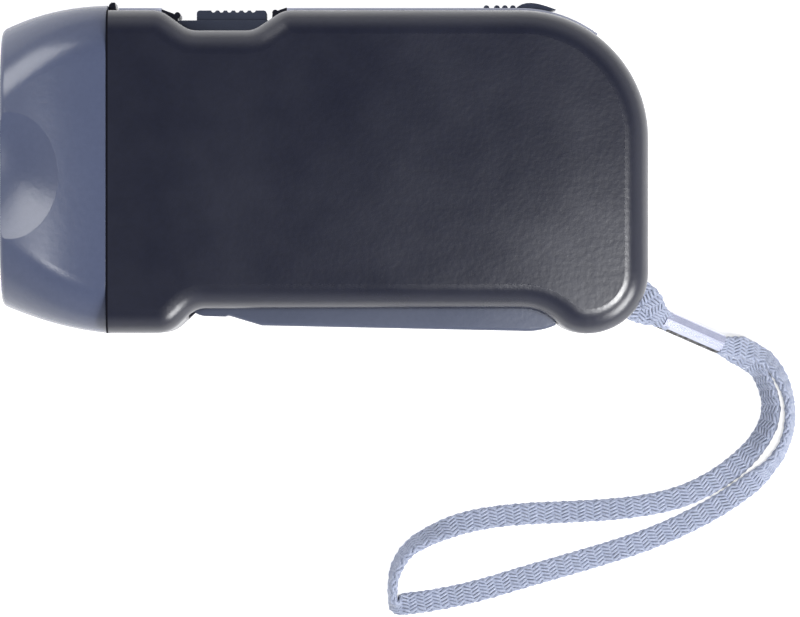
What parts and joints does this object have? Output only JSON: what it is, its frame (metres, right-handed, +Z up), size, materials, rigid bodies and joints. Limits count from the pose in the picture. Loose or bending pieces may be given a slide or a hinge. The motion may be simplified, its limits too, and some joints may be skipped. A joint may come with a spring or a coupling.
{
  "type": "squeeze-lever dynamo flashlight",
  "caption": "Pocket flashlight charged by squeezing a long side lever that spins an inner dynamo, with an oval head, thumb switch, lever lock and braided wrist strap.",
  "frame": {"origin": "under the middle of the flashlight, on the surface it lies on, without its strap", "axes": "+X from the lens to the tail, +Y from the lever to the switch side, +Z up through the thickness, with the flashlight lying on its flat side"},
  "size_m": [0.1299, 0.0997, 0.038],
  "materials": {
    "shell_black": "fine grain, satin",
    "head_grey": "fine grain, satin",
    "trim_grey": "satin",
    "strip_pale": "satin",
    "strip_dark": "satin",
    "lens_clear": "clear, polished",
    "seal_rubber": "matt",
    "reflector_bright": "vacuum plated",
    "led_clear": "clear epoxy",
    "board_green": "solder mask",
    "diode_black": "moulded",
    "capacitor_sleeve": "shrink sleeve",
    "battery_sleeve": "shrink sleeve",
    "nickel": "plated",
    "wire_red": "insulation",
    "contact_brass": "stamped strip",
    "gear_white": "natural nylon",
    "pinion_brass": "machined",
    "steel": "plated",
    "ferrite": "sintered",
    "soft_iron": "stamped",
    "copper": "enamelled wire",
    "frame_black": "moulded",
    "strap_cord": "flat braid, sheen",
    "crimp": "bright folded strip"
  },
  "bodies": {
    "housing": {"upper_shell": "shell_black", "lower_shell": "shell_black", "head_bezel": "head_grey", "switch_base": "trim_grey", "front_strip": "strip_pale", "top_strip": "strip_pale", "back_strip": "strip_dark", "lens": "lens_clear", "lens_seal": "seal_rubber", "reflector": "reflector_bright", "leds": "led_clear", "led_board": "board_green", "rectifier_diodes": "diode_black", "smoothing_capacitor": "capacitor_sleeve", "battery_pack": "battery_sleeve", "battery_tabs": "nickel", "inner_wires": "wire_red", "contact_blades": "contact_brass", "coil_bobbin": "gear_white", "coil_terminal": "gear_white", "lever_pin": "steel", "lever_spring": "steel", "gear_axles": "steel", "frame_screws": "steel", "housing_screws": "steel", "strap_pin": "steel", "stator_claws": "soft_iron", "coil_winding": "copper", "gear_frame": "frame_black", "gear_bridge": "frame_black", "strap_neck": "strap_cord", "strap_loop": "strap_cord", "strap_ferrule": "crimp"},
    "lever": {"squeeze_lever": "trim_grey", "sector_rack": "gear_white", "rack_rivets": "steel"},
    "first_gear": {"first_gear": "gear_white"},
    "second_gear": {"second_gear": "gear_white", "clutch_pinion": "gear_white"},
    "rotor": {"rotor_cup": "steel", "rotor_magnet": "ferrite", "rotor_pinion": "pinion_brass"},
    "switch": {"switch_cap": "trim_grey", "switch_contact": "contact_brass"},
    "lock": {"lock_slider": "trim_grey"}
  },
  "joints": [
    {"name": "lever_hinge", "type": "hinge", "parent": "housing", "child": "lever", "pos_m": [-0.0192, -0.02077, 0.019], "axis": [0, 0, -1], "range_deg": [0, 20]},
    {"name": "first_spin", "type": "hinge", "parent": "housing", "child": "first_gear", "pos_m": [0.0236, -0.00686, 0.019], "axis": [0, 0, -1], "range_deg": [-1, 201]},
    {"name": "second_spin", "type": "hinge", "parent": "housing", "child": "second_gear", "pos_m": [0.01176, -0.00255, 0.019], "axis": [0, 0, -1], "range_deg": [-503, 3]},
    {"name": "rotor_spin", "type": "hinge", "parent": "housing", "child": "rotor", "pos_m": [0.0024, 0.00285, 0.019], "axis": [0, 0, -1], "range_deg": [-5, 1005]},
    {"name": "switch_slide", "type": "slide", "parent": "housing", "child": "switch", "axis": [-1, 0, 0], "range_m": [0, 0.0026]},
    {"name": "lock_slide", "type": "slide", "parent": "housing", "child": "lock", "axis": [1, 0, 0], "range_m": [0, 0.0035]}
  ],
  "couplings": [
    {"joint": "first_spin", "follows": "lever_hinge", "ratio": 10},
    {"joint": "second_spin", "follows": "lever_hinge", "ratio": -25},
    {"joint": "rotor_spin", "follows": "lever_hinge", "ratio": 50}
  ]
}
